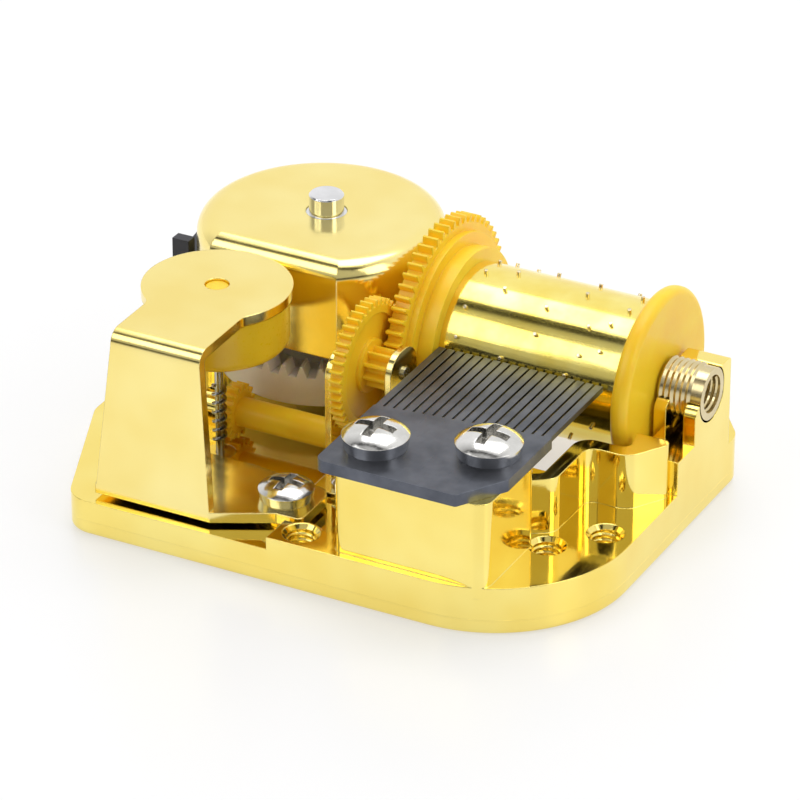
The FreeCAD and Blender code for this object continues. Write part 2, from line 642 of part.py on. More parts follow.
def make_mainspring():
    """A strip wound from the arbor out to the housing wall, in half-turn arcs."""
    growth = (SPRING_OUTER - SPRING_INNER) / (2 * SPRING_TURNS)
    outer_edges = []
    inner_edges = []
    for edges, offset in ((outer_edges, SPRING_STRIP), (inner_edges, 0.0)):
        side = 1
        for i in range(2 * SPRING_TURNS):
            near = SPRING_INNER + i * growth + offset
            far = near + growth
            centre = (far - near) / 2
            mean = (near + far) / 2
            start = vec(side * near, 0)
            end = vec(-side * far, 0)
            middle = vec(-side * centre, side * mean)
            edges.append(Part.Arc(start, middle, end).toShape())
            side = -side
    first = Part.LineSegment(vec(SPRING_INNER, 0), vec(SPRING_INNER + SPRING_STRIP, 0)).toShape()
    last = Part.LineSegment(vec(SPRING_OUTER, 0), vec(SPRING_OUTER + SPRING_STRIP, 0)).toShape()
    wire = Part.Wire(Part.__sortEdges__(outer_edges + [last] + inner_edges + [first]))
    strip = Part.Face(wire).extrude(vec(0, 0, SPRING_HEIGHT))
    strip.translate(vec(0, 0, SPRING_BOTTOM))
    return strip


def make_spring_core():
    """Collar that hooks the spring's inner end to the arbor."""
    return ring(SPRING_INNER - 0.02, ARBOR_RADIUS, SPRING_BOTTOM, SPRING_BOTTOM + SPRING_HEIGHT)


def comb_outline():
    cut = COMB_CORNER_CUT
    return [(COMB_LEFT, COMB_FRONT, COMB_CORNER_RADIUS),
            (COMB_RIGHT - cut, COMB_FRONT, 0.3),
            (COMB_RIGHT, COMB_FRONT + cut * 1.6, 0.6),
            (COMB_RIGHT, SLIT_ROOT_RIGHT, 0),
            (COMB_LEFT, SLIT_ROOT_LEFT, 0)]


def make_comb():
    plate = slab(comb_outline(), COMB_UNDERSIDE, COMB_TOP)
    teeth = []
    slope = (SLIT_ROOT_RIGHT - SLIT_ROOT_LEFT) / COMB_WIDTH
    for i in range(TOOTH_COUNT):
        left = COMB_LEFT + i * TOOTH_PITCH + TOOTH_SLIT / 2
        right = left + TOOTH_PITCH - TOOTH_SLIT
        root = SLIT_ROOT_LEFT + slope * (left - COMB_LEFT) - 0.6
        teeth.append(box(left, right, root, COMB_TIP, TOOTH_UNDERSIDE, COMB_TOP))
    comb = fuse_all([plate] + teeth)
    for x, y in COMB_SCREWS:
        comb = comb.cut(rod(COMB_SCREW_RADIUS + SCREW_CLEARANCE, COMB_UNDERSIDE - 1, COMB_TOP + 1, x, y))
    return comb


def make_leads():
    """Tuning weights under the low notes."""
    leads = []
    for i in range(LEAD_COUNT):
        left = COMB_LEFT + i * TOOTH_PITCH + TOOTH_SLIT / 2
        right = left + TOOTH_PITCH - TOOTH_SLIT
        back = COMB_TIP - LEAD_SETBACK
        leads.append(box(left, right, back - LEAD_LENGTH + 0.15 * i, back,
                         TOOTH_UNDERSIDE - LEAD_HEIGHT, TOOTH_UNDERSIDE))
    return Part.makeCompound(leads)


def make_comb_screws():
    screws = [pan_screw(x, y, COMB_TOP, COMB_SCREW_LENGTH, COMB_SCREW_RADIUS,
                        COMB_SCREW_HEAD_RADIUS, COMB_SCREW_HEAD_HEIGHT) for x, y in COMB_SCREWS]
    return Part.makeCompound(screws)


def cylinder_phase():
    """Turn of the cylinder gear that puts a gap towards the idler."""
    return math.pi - math.radians(IDLER_RISE) + math.pi / CYLINDER_GEAR_TEETH


def make_cylinder_gear():
    gear = gear_on_x(CYLINDER_GEAR_TEETH, FINE_MODULE, cylinder_phase(), CYLINDER_GEAR_START,
                     CYLINDER_GEAR_WIDTH, 0, CYLINDER_HEIGHT)
    end = CYLINDER_GEAR_START + CYLINDER_GEAR_WIDTH
    step = spindle(GEAR_RING_RADIUS, end, end + GEAR_RING_WIDTH, 0, CYLINDER_HEIGHT)
    flange = spindle(GEAR_FLANGE_RADIUS, end, CYLINDER_START, 0, CYLINDER_HEIGHT)
    plug = spindle(CYLINDER_RADIUS - CYLINDER_WALL, end, CYLINDER_START + GEAR_PLUG_LENGTH,
                   0, CYLINDER_HEIGHT)
    body = fuse_all([gear, step, flange, plug])
    return body.cut(spindle(AXLE_RADIUS, 0, BASE_RIGHT, 0, CYLINDER_HEIGHT))


def make_end_disc():
    disc = spindle(END_DISC_RADIUS, END_DISC_START, END_DISC_END, 0, CYLINDER_HEIGHT)
    rim = [e for e in disc.Edges if e.BoundBox.XMax - e.BoundBox.XMin < 1e-6]
    disc = disc.makeFillet(END_DISC_ROUND, rim)
    plug = spindle(CYLINDER_RADIUS - CYLINDER_WALL, CYLINDER_END - GEAR_PLUG_LENGTH, CYLINDER_END + 0.5,
                   0, CYLINDER_HEIGHT)
    body = fuse_all([disc, plug])
    return body.cut(spindle(AXLE_RADIUS, 0, BASE_RIGHT, 0, CYLINDER_HEIGHT))


def make_tube():
    outer = spindle(CYLINDER_RADIUS, CYLINDER_START, CYLINDER_END, 0, CYLINDER_HEIGHT)
    inner = spindle(CYLINDER_RADIUS - CYLINDER_WALL, 0, BASE_RIGHT, 0, CYLINDER_HEIGHT)
    tube = outer.cut(inner)
    for pin in pin_rods(CYLINDER_RADIUS - PIN_ROOT):
        tube = tube.cut(pin)
    return tube


def pin_places():
    """Track and angle of every pin: a plain made-up scale exercise."""
    places = []
    for beat in range(48):
        angle = 7.5 * beat + 3.0
        track = (beat * 5 + (beat // 6) * 3) % TOOTH_COUNT
        places.append((track, angle))
        if beat % 3 == 0:
            places.append(((track + 7) % TOOTH_COUNT, angle + 1.2))
    return places


def pin_rods(start_radius):
    rods = []
    for track, angle in pin_places():
        x = COMB_LEFT + (track + 0.5) * TOOTH_PITCH
        turn = math.radians(angle)
        way = vec(0, math.cos(turn), math.sin(turn))
        foot = vec(x, 0, CYLINDER_HEIGHT) + way * start_radius
        rods.append(Part.makeCylinder(PIN_RADIUS, PIN_CREST - start_radius, foot, way))
    return rods


def make_pins():
    return Part.makeCompound(pin_rods(CYLINDER_RADIUS - PIN_ROOT))


def make_axle():
    return spindle(AXLE_RADIUS, DRIVE_PINION_START - 0.2, BUSH_START + BUSH_SEAT, 0, CYLINDER_HEIGHT)


def make_drive_pinion():
    gear = gear_on_x(DRIVE_PINION_TEETH, CROWN_MODULE, -math.pi / 2, DRIVE_PINION_START,
                     DRIVE_PINION_WIDTH, 0, CYLINDER_HEIGHT)
    return gear.cut(spindle(AXLE_RADIUS, 0, BASE_RIGHT, 0, CYLINDER_HEIGHT))


def make_bush():
    """Threaded sleeve that carries the axle's right end and sets the cylinder's place."""
    start = BUSH_START
    points = []
    turns = int((BUSH_END - start - 0.6) / BUSH_THREAD_PITCH)
    for i in range(turns):
        x = start + i * BUSH_THREAD_PITCH
        points.append(vec(x, BUSH_RADIUS - BUSH_THREAD_DEPTH, 0))
        points.append(vec(x + BUSH_THREAD_PITCH / 2, BUSH_RADIUS, 0))
    points.append(vec(start + turns * BUSH_THREAD_PITCH, BUSH_RADIUS - BUSH_THREAD_DEPTH, 0))
    points.append(vec(BUSH_END, BUSH_RADIUS - BUSH_THREAD_DEPTH, 0))
    points.append(vec(BUSH_END, BUSH_BORE, 0))
    points.append(vec(start + BUSH_SEAT, BUSH_BORE, 0))
    points.append(vec(start + BUSH_SEAT, AXLE_RADIUS + RUNNING_CLEARANCE, 0))
    points.append(vec(start, AXLE_RADIUS + RUNNING_CLEARANCE, 0))
    face = Part.Face(Part.makePolygon(points + points[:1]))
    bush = face.revolve(vec(0, 0, 0), X_AXIS, 360)
    bush.translate(vec(0, 0, CYLINDER_HEIGHT))
    return bush


def idler_pinion_phase():
    """A tooth of the idler pinion points at the gap of the cylinder gear."""
    return -math.radians(IDLER_RISE)


def shaft_direction():
    return math.atan2(SHAFT_Z - IDLER_Z, SHAFT_Y - IDLER_Y)


def make_idler_gear():
    wheel = gear_on_x(IDLER_WHEEL_TEETH, BRAKE_MODULE, shaft_direction() + math.pi / IDLER_WHEEL_TEETH,
                      IDLER_WHEEL_START, IDLER_WHEEL_WIDTH, IDLER_Y, IDLER_Z)
    pinion = gear_on_x(IDLER_PINION_TEETH, FINE_MODULE, idler_pinion_phase(),
                       IDLER_WHEEL_START + IDLER_WHEEL_WIDTH - 0.1,
                       IDLER_PINION_END - IDLER_WHEEL_START - IDLER_WHEEL_WIDTH + 0.1, IDLER_Y, IDLER_Z)
    face = IDLER_WHEEL_START + IDLER_WHEEL_WIDTH
    recess = spindle(IDLER_WEB_OUTER, face - IDLER_WEB_DEPTH, face, IDLER_Y, IDLER_Z)
    recess = recess.cut(spindle(IDLER_WEB_INNER, 0, BASE_RIGHT, IDLER_Y, IDLER_Z))
    bore = spindle(IDLER_PIN_RADIUS + RUNNING_CLEARANCE, 0, BASE_RIGHT, IDLER_Y, IDLER_Z)
    return fuse_all([wheel.cut(recess), pinion]).cut(bore)


def make_idler_pin():
    return spindle(IDLER_PIN_RADIUS, CHEEK_LEFT - 0.2, CHEEK_RIGHT + CHEEK_SHEET + 0.2, IDLER_Y, IDLER_Z)


def cheek(start, front):
    """One upright of the idler bracket, round at the top, with its back edge clear of the gear."""
    low = BASE_FLOOR
    outline = [(front, low, 0), (SHAFT_Y + 1.6, low, 0), (IDLER_Y + CHEEK_ROUND, IDLER_Z - 1.0, 0),
               (IDLER_Y + CHEEK_ROUND, IDLER_Z + CHEEK_ROUND, CHEEK_ROUND - 0.2),
               (front, IDLER_Z + CHEEK_ROUND, CHEEK_ROUND - 0.4)]
    return side_slab(outline, start, start + CHEEK_SHEET)


def make_idler_bracket():
    left = cheek(CHEEK_LEFT, BRACKET_SCREW_Y + 0.9)
    right = cheek(CHEEK_RIGHT, BRACKET_SCREW_Y + 3.0)
    foot = box(CHEEK_LEFT, CHEEK_RIGHT + CHEEK_SHEET, BRACKET_SCREW_Y - 1.7, BRACKET_SCREW_Y + 2.6,
               BASE_FLOOR, BASE_FLOOR + CHEEK_SHEET)
    toe = box(CHEEK_RIGHT, CHEEK_RIGHT + CHEEK_SHEET, BRACKET_SCREW_Y, SHAFT_Y, BASE_FLOOR,
              BASE_FLOOR + CHEEK_SHEET)
    body = fuse_all([left, right, foot, toe])
    body = body.cut(spindle(IDLER_PIN_RADIUS, 0, BASE_RIGHT, IDLER_Y, IDLER_Z))
    body = body.cut(spindle(SHAFT_RADIUS + 0.3, 0, CHEEK_RIGHT - 0.1, SHAFT_Y, SHAFT_Z))
    body = body.cut(spindle(SHAFT_JOURNAL_RADIUS + RUNNING_CLEARANCE, 0, BASE_RIGHT, SHAFT_Y, SHAFT_Z))
    return body.cut(rod(SMALL_SCREW_RADIUS + SCREW_CLEARANCE, 0, BASE_FLOOR + 2, idler_screw_x(),
                        BRACKET_SCREW_Y))


def make_idler_screw():
    return pan_screw(idler_screw_x(), BRACKET_SCREW_Y, BASE_FLOOR + CHEEK_SHEET, 2.6, SMALL_SCREW_RADIUS,
                     1.35, 0.9)


def shaft_pinion_phase():
    return shaft_direction() + math.pi


def make_worm_shaft():
    """Yellow shaft with the worm wheel at the left and a small pinion under the idler wheel."""
    pinion_end = IDLER_WHEEL_START + IDLER_WHEEL_WIDTH + 0.2
    pinion_start = IDLER_WHEEL_START - 0.2
    pinion = gear_on_x(SHAFT_PINION_TEETH, BRAKE_MODULE, shaft_pinion_phase(), pinion_start,
                       pinion_end - pinion_start, SHAFT_Y, SHAFT_Z)
    wheel = gear_on_x(WORM_WHEEL_TEETH, 2 * WORM_WHEEL_RADIUS / WORM_WHEEL_TEETH,
                      math.pi + math.pi / WORM_WHEEL_TEETH, GOVERNOR_X - 0.55, 1.1, SHAFT_Y, SHAFT_Z)
    stem = spindle(SHAFT_RADIUS, SHAFT_LEFT + SHAFT_POST_WIDTH + SIDE_CLEARANCE, pinion_start,
                   SHAFT_Y, SHAFT_Z)
    core = spindle(SHAFT_PINION_RADIUS - 1.15 * BRAKE_MODULE, pinion_start - 0.1,
                   CHEEK_RIGHT - 0.15, SHAFT_Y, SHAFT_Z)
    journal = spindle(SHAFT_JOURNAL_RADIUS, SHAFT_LEFT + 0.2, CHEEK_RIGHT + CHEEK_SHEET, SHAFT_Y, SHAFT_Z)
    return fuse_all([pinion, wheel, stem, core, journal])


def bracket_upright():
    """Front wall and neck: one bent sheet, trimmed narrower towards the bend."""
    back = GOVERNOR_Y
    inner_round = BRACKET_BEND - BRACKET_SHEET
    low = foot_height()
    foot_middle = GOVERNOR_X + FOOT_SHIFT
    neck_middle = GOVERNOR_X + NECK_SHIFT
    foot = BRACKET_FOOT_WIDTH / 2
    neck = BRACKET_NECK_WIDTH / 2
    sheet = side_slab([(BRACKET_FRONT, low, 0), (BRACKET_FRONT + BRACKET_SHEET, low, 0),
                       (BRACKET_FRONT + BRACKET_SHEET, BRACKET_TOP - BRACKET_SHEET, inner_round),
                       (back, BRACKET_TOP - BRACKET_SHEET, 0), (back, BRACKET_TOP, 0),
                       (BRACKET_FRONT, BRACKET_TOP, BRACKET_BEND)],
                      foot_middle - foot, foot_middle + foot)
    shoulder = BRACKET_TOP - BRACKET_BEND
    corners = [vec(foot_middle - foot, 0, low), vec(foot_middle + foot, 0, low),
               vec(neck_middle + neck, 0, shoulder), vec(neck_middle + neck, 0, BRACKET_TOP + 1),
               vec(neck_middle - neck, 0, BRACKET_TOP + 1), vec(neck_middle - neck, 0, shoulder)]
    mask = Part.Face(Part.makePolygon(corners + corners[:1]))
    mask.translate(vec(0, BRACKET_FRONT - 1, 0))
    return sheet.common(mask.extrude(vec(0, back - BRACKET_FRONT + 2, 0)))


def bracket_foot():
    low = foot_height()
    middle = GOVERNOR_X + FOOT_SHIFT
    half = BRACKET_FOOT_WIDTH / 2
    return slab([(middle - half, BRACKET_FRONT, 0), (middle + half, BRACKET_FRONT, 0),
                 (BRACKET_SCREW_X + FOOT_TAB_INSET, BRACKET_SCREW_FRONT - FOOT_TAB_FRONT, 0.5),
                 (BRACKET_SCREW_X + FOOT_TAB_REACH, BRACKET_SCREW_FRONT - FOOT_TAB_FRONT, 0.5),
                 (BRACKET_SCREW_X + FOOT_TAB_REACH, BRACKET_SCREW_FRONT + FOOT_TAB_BACK, 1.5),
                 (middle + half - FOOT_TAB_INSET, GOVERNOR_Y - FOOT_TAB_BACK, 0.5),
                 (middle - half, GOVERNOR_Y - FOOT_TAB_BACK, 0.5)], low, low + BRACKET_SHEET)


def make_bracket():
    disc = rod(BRACKET_DISC_RADIUS, BRACKET_TOP - BRACKET_SHEET, BRACKET_TOP, GOVERNOR_X, GOVERNOR_Y)
    body = fuse_all([bracket_upright(), disc])
    neck_corners = [e for e in body.Edges
                    if e.BoundBox.XLength < 1e-6 and e.BoundBox.YLength < 1e-6
                    and GOVERNOR_Y - BRACKET_DISC_RADIUS < e.BoundBox.YMin < GOVERNOR_Y - 1]
    body = body.makeFillet(BRACKET_NECK_FILLET, neck_corners)
    body = fuse_all([body, bracket_foot()])
    body = body.cut(rod(PIVOT_RADIUS, BRACKET_TOP - 2, BRACKET_TOP + 1, GOVERNOR_X, GOVERNOR_Y))
    return body.cut(rod(SMALL_SCREW_RADIUS + SCREW_CLEARANCE, 0, foot_height() + 2, BRACKET_SCREW_X,
                        BRACKET_SCREW_FRONT))


def make_bracket_screw():
    return pan_screw(BRACKET_SCREW_X, BRACKET_SCREW_FRONT, foot_height() + BRACKET_SHEET, 3.0,
                     SMALL_SCREW_RADIUS, SMALL_SCREW_HEAD_RADIUS, SMALL_SCREW_HEAD_HEIGHT)


def make_cup():
    """Brake drum under the top plate, open below."""
    top = BRACKET_TOP - BRACKET_SHEET
    outer = rod(CUP_RADIUS, CUP_BOTTOM, top, GOVERNOR_X, GOVERNOR_Y)
    lower = [e for e in outer.Edges if e.BoundBox.ZMax < CUP_BOTTOM + 1e-6]
    outer = outer.makeFillet(CUP_ROUND, lower)
    hollow = rod(CUP_RADIUS - CUP_WALL, CUP_BOTTOM + CUP_WALL, top - CUP_WALL, GOVERNOR_X, GOVERNOR_Y)
    mouth = rod(ROTOR_HUB_RADIUS + 0.8, CUP_BOTTOM - 1, CUP_BOTTOM + 2, GOVERNOR_X, GOVERNOR_Y)
    bore = rod(PIVOT_RADIUS, top - 2, top + 1, GOVERNOR_X, GOVERNOR_Y)
    return outer.cut(hollow).cut(mouth).cut(bore)


def make_pivot():
    """Yellow plug that carries the worm's upper journal."""
    top = BRACKET_TOP - 0.15
    plug = rod(PIVOT_RADIUS, BRACKET_TOP - BRACKET_SHEET - CUP_WALL, top, GOVERNOR_X, GOVERNOR_Y)
    crown = [e for e in plug.Edges if e.BoundBox.ZMin > top - 1e-6]
    plug = plug.makeFillet(0.25, crown)
    return plug.cut(rod(WORM_CORE + RUNNING_CLEARANCE, 0, WORM_TOP - 0.1, GOVERNOR_X, GOVERNOR_Y))


def make_worm_bearing():
    """Footstep bearing let into the base."""
    cup = rod(bearing_radius(), 1.0, BASE_FLOOR, GOVERNOR_X, GOVERNOR_Y)
    return cup.cut(rod(WORM_CORE + RUNNING_CLEARANCE, BASE_FLOOR - 1.2, BASE_FLOOR + 1,
                       GOVERNOR_X, GOVERNOR_Y))


def make_worm():
    """Steel worm: a slim core with one right-hand thread."""
    core = rod(WORM_CORE, BASE_FLOOR - 1.15, WORM_TOP - 0.2)
    height = WORM_THREAD_TOP - WORM_BOTTOM
    helix = Part.makeHelix(WORM_PITCH, height, WORM_CORE)
    root = WORM_PITCH * 0.2
    crest = WORM_PITCH * 0.08
    inner = WORM_CORE - 0.08
    corners = [vec(inner, 0, -root), vec(WORM_CREST, 0, -crest), vec(WORM_CREST, 0, crest),
               vec(inner, 0, root)]
    profile = Part.makePolygon(corners + corners[:1])
    thread = Part.Wire(helix).makePipeShell([profile], True, True)
    thread.translate(vec(0, 0, WORM_BOTTOM))
    worm = core.fuse(thread)
    phase = 360 * ((SHAFT_Z - WORM_BOTTOM) / WORM_PITCH % 1.0)
    worm.rotate(vec(0, 0, 0), Z_AXIS, 90 - phase)
    worm.translate(vec(GOVERNOR_X, GOVERNOR_Y, 0))
    return worm


def make_rotor():
    """Hub on the worm with two springy arms that carry the weights."""
    low = CUP_BOTTOM + CUP_WALL + 0.5
    hub = rod(ROTOR_HUB_RADIUS, low - 1.2, low + 1.6, GOVERNOR_X, GOVERNOR_Y)
    arm = box(GOVERNOR_X - ROTOR_ARM_REACH, GOVERNOR_X + ROTOR_ARM_REACH, GOVERNOR_Y - 0.3,
              GOVERNOR_Y + 0.3, low, low + 1.2)
    body = fuse_all([hub, arm])
    for side in (-1, 1):
        x = GOVERNOR_X + side * ROTOR_ARM_REACH
        body = body.cut(rod(WEIGHT_RADIUS, low - 1, low + 3, x, GOVERNOR_Y))
    return body.cut(rod(WORM_CORE, 0, BRACKET_TOP, GOVERNOR_X, GOVERNOR_Y))


def make_weights():
    low = CUP_BOTTOM + CUP_WALL + 0.4
    weights = []
    for side in (-1, 1):
        x = GOVERNOR_X + side * ROTOR_ARM_REACH
        weights.append(rod(WEIGHT_RADIUS, low, low + 1.8, x, GOVERNOR_Y))
    return Part.makeCompound(weights)


def make_lever():
    """Black start and stop lever on the left of the housing, with an upturned finger."""
    top = LEVER_BOTTOM + LEVER_THICKNESS
    hub = rod(LEVER_HUB_RADIUS, LEVER_BOTTOM, top, LEVER_X, LEVER_Y)
    tip = LEVER_Y - LEVER_LENGTH
    arm = slab([(LEVER_X + FINGER_RIGHT, LEVER_Y, 0), (LEVER_X - LEVER_HUB_RADIUS, LEVER_Y, 0),
                (LEVER_X - FINGER_LEFT, tip, 0), (LEVER_X + FINGER_RIGHT, tip, 0)], LEVER_BOTTOM, top)
    finger = box(LEVER_X - FINGER_LEFT, LEVER_X + FINGER_RIGHT, tip, tip + FINGER_DEPTH,
                 LEVER_BOTTOM, FINGER_TOP)
    bore = rod(LEVER_PIN_RADIUS + RUNNING_CLEARANCE, 0, HOUSING_TOP, LEVER_X, LEVER_Y)
    return fuse_all([hub, arm, finger]).cut(bore)


def make_lever_pin():
    top = LEVER_BOTTOM + LEVER_THICKNESS
    seat = top + BEARING_POST_GAP
    stem = rod(LEVER_PIN_RADIUS, BASE_FLOOR, seat, LEVER_X, LEVER_Y)
    head = rod(LEVER_PIN_RADIUS + LEVER_PIN_HEAD, seat, seat + LEVER_PIN_HEAD, LEVER_X, LEVER_Y)
    return stem.fuse(head).removeSplitter()


PIECES = {
    "base_plate": make_base,
    "spring_housing": make_housing,
    "housing_rivets": make_rivets,
    "mainspring": make_mainspring,
    "spring_core": make_spring_core,
    "winding_arbor": make_arbor,
    "arbor_bush": make_arbor_bush,
    "great_wheel": make_great_wheel,
    "clutch_sleeve": make_sleeve,
    "comb": make_comb,
    "tuning_leads": make_leads,
    "comb_screws": make_comb_screws,
    "cylinder_tube": make_tube,
    "tune_pins": make_pins,
    "cylinder_gear": make_cylinder_gear,
    "cylinder_end_disc": make_end_disc,
    "cylinder_axle": make_axle,
    "drive_pinion": make_drive_pinion,
    "cylinder_bush": make_bush,
    "idler_gear": make_idler_gear,
    "idler_pin": make_idler_pin,
    "idler_bracket": make_idler_bracket,
    "idler_bracket_screw": make_idler_screw,
    "worm_shaft": make_worm_shaft,
    "worm": make_worm,
    "worm_foot_bearing": make_worm_bearing,
    "governor_rotor": make_rotor,
    "governor_weights": make_weights,
    "governor_cup": make_cup,
    "governor_pivot": make_pivot,
    "governor_bracket": make_bracket,
    "governor_bracket_screw": make_bracket_screw,
    "stop_lever": make_lever,
    "stop_lever_pin": make_lever_pin,
}

for name, make in PIECES.items():
    shape = make()
    shape.exportStep("parts/" + name + ".step")
    print(name, "solids", len(shape.Solids), "volume", round(shape.Volume, 3), "valid", shape.isValid())
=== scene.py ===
# %% [markdown]
# A wind-up music movement, dressed for the camera.
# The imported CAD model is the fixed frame: every solid already sits where it belongs, in metres.
# This lesson gives each solid its finish, adds the small threads that a lathe or a tap leaves,
# and sets up a plain white studio with the camera where the photographer stood.

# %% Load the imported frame
import json
import math

import bmesh
import bpy
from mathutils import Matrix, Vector


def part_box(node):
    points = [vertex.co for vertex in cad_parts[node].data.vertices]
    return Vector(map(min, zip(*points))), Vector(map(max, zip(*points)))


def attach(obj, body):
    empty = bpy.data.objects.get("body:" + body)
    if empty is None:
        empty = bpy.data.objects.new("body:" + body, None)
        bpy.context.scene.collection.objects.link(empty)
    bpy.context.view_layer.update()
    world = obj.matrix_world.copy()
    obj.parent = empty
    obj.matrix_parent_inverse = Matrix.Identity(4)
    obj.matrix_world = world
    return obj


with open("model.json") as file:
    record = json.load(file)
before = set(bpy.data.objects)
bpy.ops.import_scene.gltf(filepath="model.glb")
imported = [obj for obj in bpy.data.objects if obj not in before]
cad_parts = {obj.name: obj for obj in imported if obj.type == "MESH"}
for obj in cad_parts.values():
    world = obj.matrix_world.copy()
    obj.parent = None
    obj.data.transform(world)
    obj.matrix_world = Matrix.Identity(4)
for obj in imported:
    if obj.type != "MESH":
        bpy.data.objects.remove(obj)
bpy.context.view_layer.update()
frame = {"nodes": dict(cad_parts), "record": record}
nodes = frame["nodes"]
MM = 0.001
print("solids in the frame:", len(nodes))

# %% [markdown]
# The camera. A long lens from far away keeps the cylinder and the base edges nearly parallel,
# as they are in the picture. One could aim with a Track To constraint, but a rotation worked out
# from the viewing direction is plain to read and leaves nothing live in the file.

# %% Camera
AZIMUTH = math.radians(27.65)
ELEVATION = math.radians(28.57)
CAMERA_PLACE = Vector((188.32, -346.08, 215.63)) * MM
LENS_MM = 234.0
SENSOR_MM = 36.0

scene = bpy.context.scene
scene.view_settings.view_transform = "Standard"
camera_data = bpy.data.cameras.new("long_lens")
camera_data.lens = LENS_MM
camera_data.sensor_width = SENSOR_MM
camera_data.clip_start = 0.01
camera = bpy.data.objects.new("camera", camera_data)
scene.collection.objects.link(camera)
looking = Vector((-math.sin(AZIMUTH) * math.cos(ELEVATION),
                  math.cos(AZIMUTH) * math.cos(ELEVATION),
                  -math.sin(ELEVATION)))
camera.location = CAMERA_PLACE
camera.rotation_euler = looking.to_track_quat("-Z", "Y").to_euler()
scene.camera = camera
print("camera at", [round(v, 3) for v in camera.location])

# %% [markdown]
# Small helpers for node materials. Every finish below is a Principled shader whose colour,
# roughness and bump come from noise measured in millimetres on the object itself, so that the
# grain rides with the piece when it turns. Image textures could do this too, but noise needs no
# file and has no seams.


# %% Node helpers
def add_node(tree, kind, **values):
    node = tree.nodes.new(kind)
    for name, value in values.items():
        node.inputs[name.replace("_", " ")].default_value = value
    return node


def object_grain(tree, cells_per_mm, detail=3.0, stretch=(1.0, 1.0, 1.0)):
    """Noise on the object's own coordinates, stretched where a grain has a direction."""
    place = tree.nodes.new("ShaderNodeTexCoord")
    mapping = tree.nodes.new("ShaderNodeMapping")
    mapping.inputs["Scale"].default_value = [s * cells_per_mm / MM for s in stretch]
    noise = add_node(tree, "ShaderNodeTexNoise", Scale=1.0, Detail=detail, Roughness=0.55)
    tree.links.new(place.outputs["Object"], mapping.inputs["Vector"])
    tree.links.new(mapping.outputs["Vector"], noise.inputs["Vector"])
    return noise.outputs["Fac"]


def ramp(tree, fac, dark, light, low=0.3, high=0.7):
    """Two colours laid over a noise."""
    node = tree.nodes.new("ShaderNodeValToRGB")
    node.color_ramp.elements[0].position = low
    node.color_ramp.elements[1].position = high
    node.color_ramp.elements[0].color = (*dark, 1.0)
    node.color_ramp.elements[1].color = (*light, 1.0)
    tree.links.new(fac, node.inputs["Fac"])
    return node.outputs["Color"]


def mapped(tree, value, start, end, low, high):
    """A value between start and end, brought to the range from low to high."""
    node = add_node(tree, "ShaderNodeMapRange", From_Min=start, From_Max=end, To_Min=low, To_Max=high)
    tree.links.new(value, node.inputs["Value"])
    return node.outputs["Result"]


def spread(tree, fac, low, high):
    """A noise brought to a range of values, such as a roughness."""
    return mapped(tree, fac, 0.25, 0.75, low, high)


def math_step(tree, operation, *terms):
    """One step of arithmetic between sockets and plain numbers."""
    node = tree.nodes.new("ShaderNodeMath")
    node.operation = operation
    for i, term in enumerate(terms):
        if isinstance(term, float):
            node.inputs[i].default_value = term
        else:
            tree.links.new(term, node.inputs[i])
    return node.outputs["Value"]


def split_axes(tree, space):
    """The X, Y and Z sockets of a place or, in the world, of a direction."""
    place = tree.nodes.new("ShaderNodeTexCoord")
    split = tree.nodes.new("ShaderNodeSeparateXYZ")
    tree.links.new(place.outputs[space], split.inputs["Vector"])
    return split.outputs


def bump_chain(tree, shader, layers, edge_mm):
    """Soft edges from a bevel normal, then each (noise, strength, depth in mm) laid on top."""
    bevel = add_node(tree, "ShaderNodeBevel", Radius=edge_mm * MM)
    bevel.samples = 6
    normal = bevel.outputs["Normal"]
    for fac, strength, depth_mm in layers:
        bump = add_node(tree, "ShaderNodeBump", Strength=strength, Distance=depth_mm * MM)
        tree.links.new(fac, bump.inputs["Height"])
        tree.links.new(normal, bump.inputs["Normal"])
        normal = bump.outputs["Normal"]
    tree.links.new(normal, shader.inputs["Normal"])


def new_finish(name):
    material = bpy.data.materials.new(name)
    material.use_nodes = True
    tree = material.node_tree
    return material, tree, tree.nodes["Principled BSDF"]


def dress(material, *names):
    """Put one finish on the named solids."""
    for name in names:
        slots = nodes[name].data.materials
        slots.clear()
        slots.append(material)
    print(material.name, "on", len(names), "solids")


# %% [markdown]
# Bright gold plating. The base casting and the pressed brackets share one bath: a mirror of pale
# gold that is slightly wavy where the zinc below it was not polished flat. The pressed sheets are
# flatter. Their colour is painted a little paler than the casting's. This is painted brightness for the
# light that their fronts catch, on the same plating. A metallic Principled shader does this well.
# Low roughness keeps the reflections, a faint bump makes them swim, and a bevel normal gives the
# soft white edge that real plating collects on every corner.


# %% Bright gold plating
def parting_line(tree, height_mm, half_width_mm):
    """A thin raised line at one height, where the two halves of the casting die met."""
    height = split_axes(tree, "Object")["Z"]
    return math_step(tree, "COMPARE", height, height_mm * MM, half_width_mm * MM)


def make_plating(name, dark, light, rough_low, rough_high, wave, peel, seam_mm=None):
    material, tree, shader = new_finish(name)
    shader.inputs["Metallic"].default_value = 1.0
    tone = object_grain(tree, 0.12, 2.0)
    tree.links.new(ramp(tree, tone, dark, light), shader.inputs["Base Color"])
    smudge = object_grain(tree, 0.6, 5.0)
    tree.links.new(spread(tree, smudge, rough_low, rough_high), shader.inputs["Roughness"])
    waves = object_grain(tree, 0.25, 1.0)
    orange_peel = object_grain(tree, 5.0, 2.0)
    layers = [(waves, wave, 0.05), (orange_peel, peel, 0.004)]
    if seam_mm:
        layers.append((parting_line(tree, seam_mm, 0.05), 0.6, 0.02))
    bump_chain(tree, shader, layers, 0.14)
    return material


